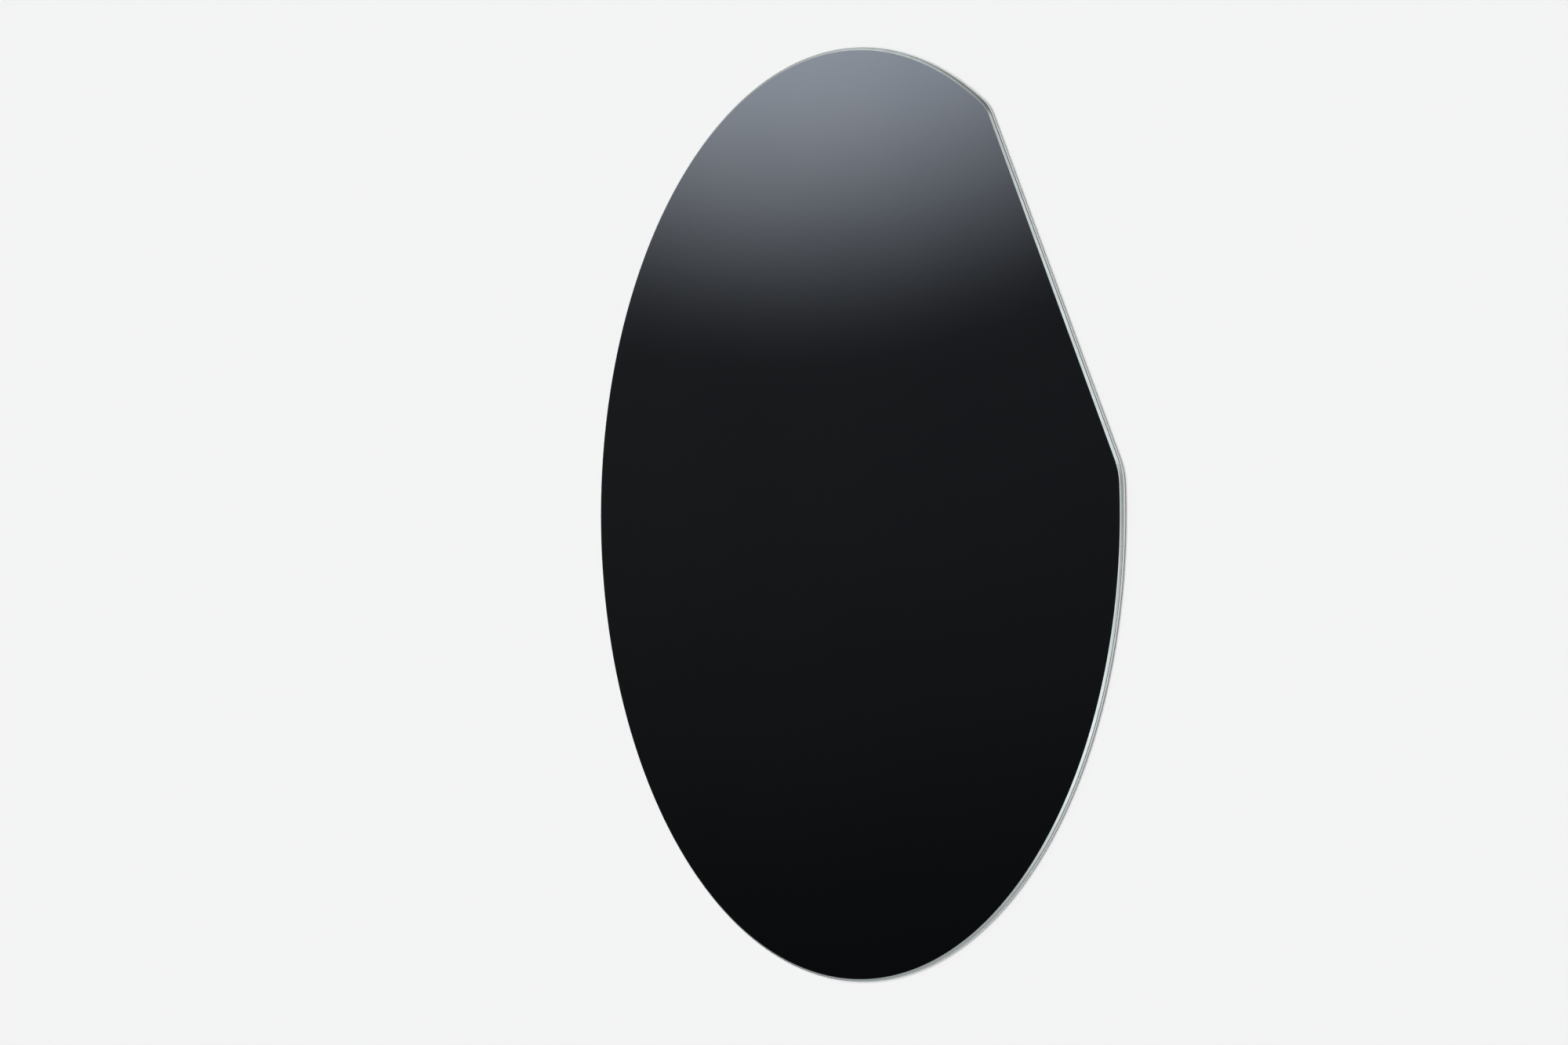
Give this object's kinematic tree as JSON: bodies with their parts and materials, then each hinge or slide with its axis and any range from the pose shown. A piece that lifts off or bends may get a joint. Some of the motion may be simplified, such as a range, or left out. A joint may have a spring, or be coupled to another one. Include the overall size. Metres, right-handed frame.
{
  "type": "silicon wafer",
  "caption": "Thin round disc of polished silicon with one straight flat and a bevelled edge, lying on its back face.",
  "frame": {"origin": "middle of the round outline, on the back face that the wafer lies on", "axes": "+Z is the polished front face's normal; the straight flat lies on the -Y side, square to Y; +X runs along the flat"},
  "size_m": [0.15, 0.1446, 0.0007],
  "materials": {
    "polished_silicon": "mirror-polished front face, etched satin back face, ground and etched bright edge"
  },
  "bodies": {
    "root": {"wafer": "polished_silicon"}
  },
  "joints": []
}
